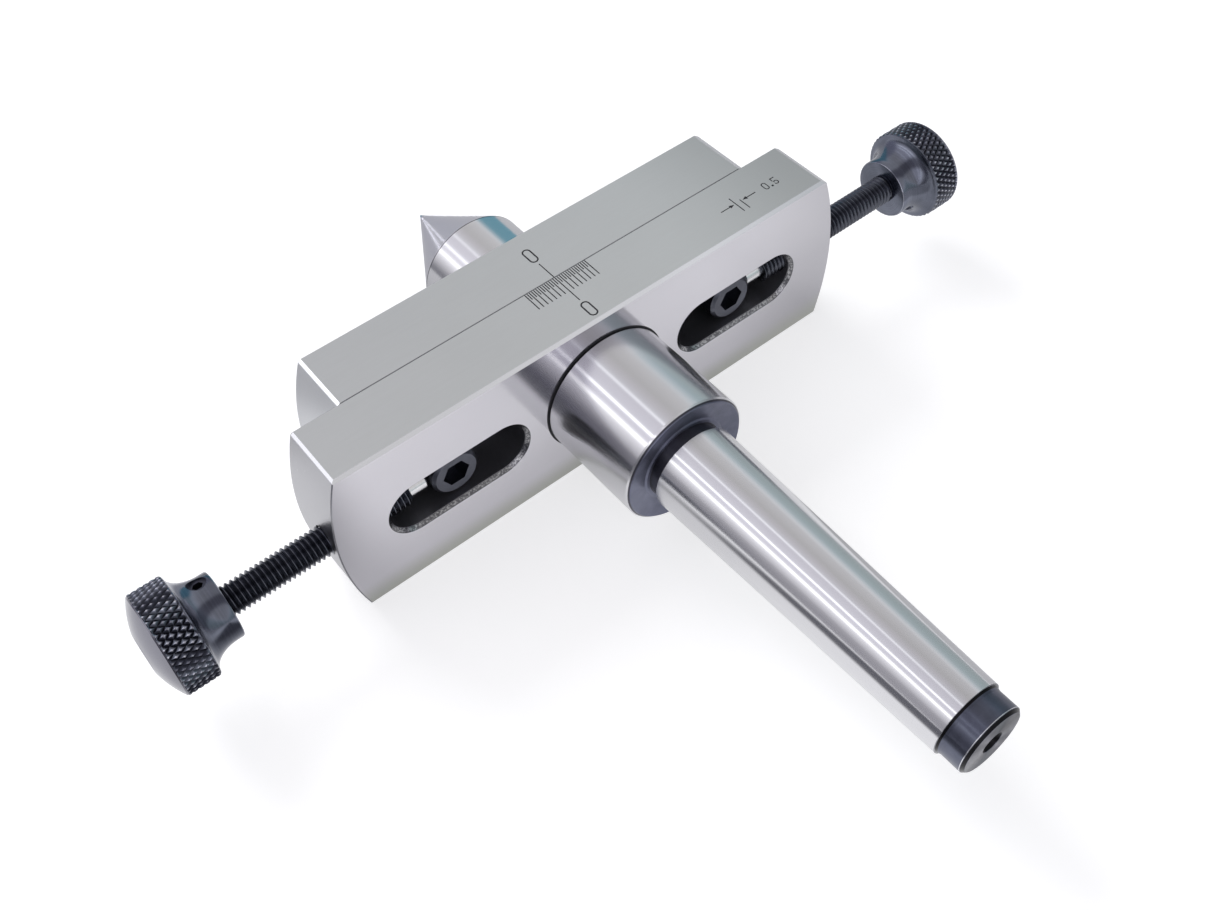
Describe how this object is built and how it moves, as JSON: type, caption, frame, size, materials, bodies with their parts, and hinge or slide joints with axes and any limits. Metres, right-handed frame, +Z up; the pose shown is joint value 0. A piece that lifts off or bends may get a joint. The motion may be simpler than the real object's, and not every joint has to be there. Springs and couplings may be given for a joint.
{
  "type": "lathe centering tool",
  "caption": "Tailstock offset centre head for taper turning: clamped slide bar with a 60 degree dead centre on a Morse taper bar, moved sideways by knurled screws.",
  "frame": {"origin": "on the spindle axis, in the gauge plane of the Morse taper shank", "axes": "+X along the bars towards the right knob seen from the shank's side, +Y along the spindle axis from the shank towards the centre's point, +Z up across the bars' flats"},
  "size_m": [0.191, 0.1608, 0.038],
  "materials": {
    "satin_steel": "fine ground, satin",
    "ground_steel": "cylindrically ground, bright",
    "bright_steel": "turned, bright",
    "black_steel": "black oxide, satin",
    "black_oxide": "black oxide with a blue sheen, knurled rim"
  },
  "bodies": {
    "fixed": {"fixed_bar": "satin_steel", "taper_shank": "ground_steel", "shank_screw": "black_steel", "shank_dowel": "bright_steel"},
    "slide": {"slide_bar": "satin_steel", "centre_point": "ground_steel", "centre_screw": "black_steel", "left_guide_bush": "bright_steel", "right_guide_bush": "bright_steel"},
    "left_washer": {"left_clamp_washer": "black_steel"},
    "left_clamp": {"left_clamp_screw": "black_steel"},
    "right_washer": {"right_clamp_washer": "black_steel"},
    "right_clamp": {"right_clamp_screw": "black_steel"},
    "left_pad": {"left_thrust_pad": "bright_steel"},
    "left_screw": {"left_adjusting_screw": "black_oxide", "left_knob": "black_oxide", "left_knob_set_screw": "black_steel"},
    "right_pad": {"right_thrust_pad": "bright_steel"},
    "right_screw": {"right_adjusting_screw": "black_oxide", "right_knob": "black_oxide", "right_knob_set_screw": "black_steel"}
  },
  "joints": [
    {"name": "offset_slide", "type": "slide", "parent": "fixed", "child": "slide", "axis": [1, 0, 0], "range_m": [-0.009, 0.009]},
    {"name": "left_screw_travel", "type": "slide", "parent": "fixed", "child": "left_pad", "axis": [1, 0, 0], "range_m": [-0.009, 0.009]},
    {"name": "left_knob_turn", "type": "hinge", "parent": "left_pad", "child": "left_screw", "pos_m": [-0.065, 0.0334, 0], "axis": [1, 0, 0], "range_deg": [-3240, 3240]},
    {"name": "right_screw_travel", "type": "slide", "parent": "fixed", "child": "right_pad", "axis": [1, 0, 0], "range_m": [-0.009, 0.009]},
    {"name": "right_knob_turn", "type": "hinge", "parent": "right_pad", "child": "right_screw", "pos_m": [0.065, 0.0334, 0], "axis": [1, 0, 0], "range_deg": [-3240, 3240]},
    {"name": "left_washer_travel", "type": "slide", "parent": "slide", "child": "left_washer", "axis": [0, -1, 0], "range_m": [0, 0.001]},
    {"name": "left_clamp_turn", "type": "hinge", "parent": "left_washer", "child": "left_clamp", "pos_m": [-0.03375, 0.0364, 0], "axis": [0, -1, 0], "range_deg": [0, 360]},
    {"name": "right_washer_travel", "type": "slide", "parent": "slide", "child": "right_washer", "axis": [0, -1, 0], "range_m": [0, 0.001]},
    {"name": "right_clamp_turn", "type": "hinge", "parent": "right_washer", "child": "right_clamp", "pos_m": [0.03375, 0.0364, 0], "axis": [0, -1, 0], "range_deg": [0, 360]}
  ],
  "couplings": [
    {"joint": "left_screw_travel", "follows": "offset_slide", "ratio": 1},
    {"joint": "right_screw_travel", "follows": "offset_slide", "ratio": 1},
    {"joint": "left_knob_turn", "follows": "offset_slide", "rad_per_m": 6283.2},
    {"joint": "right_knob_turn", "follows": "offset_slide", "rad_per_m": 6283.2},
    {"joint": "left_clamp_turn", "follows": "left_washer_travel", "rad_per_m": 6283.2},
    {"joint": "right_clamp_turn", "follows": "right_washer_travel", "rad_per_m": 6283.2}
  ]
}
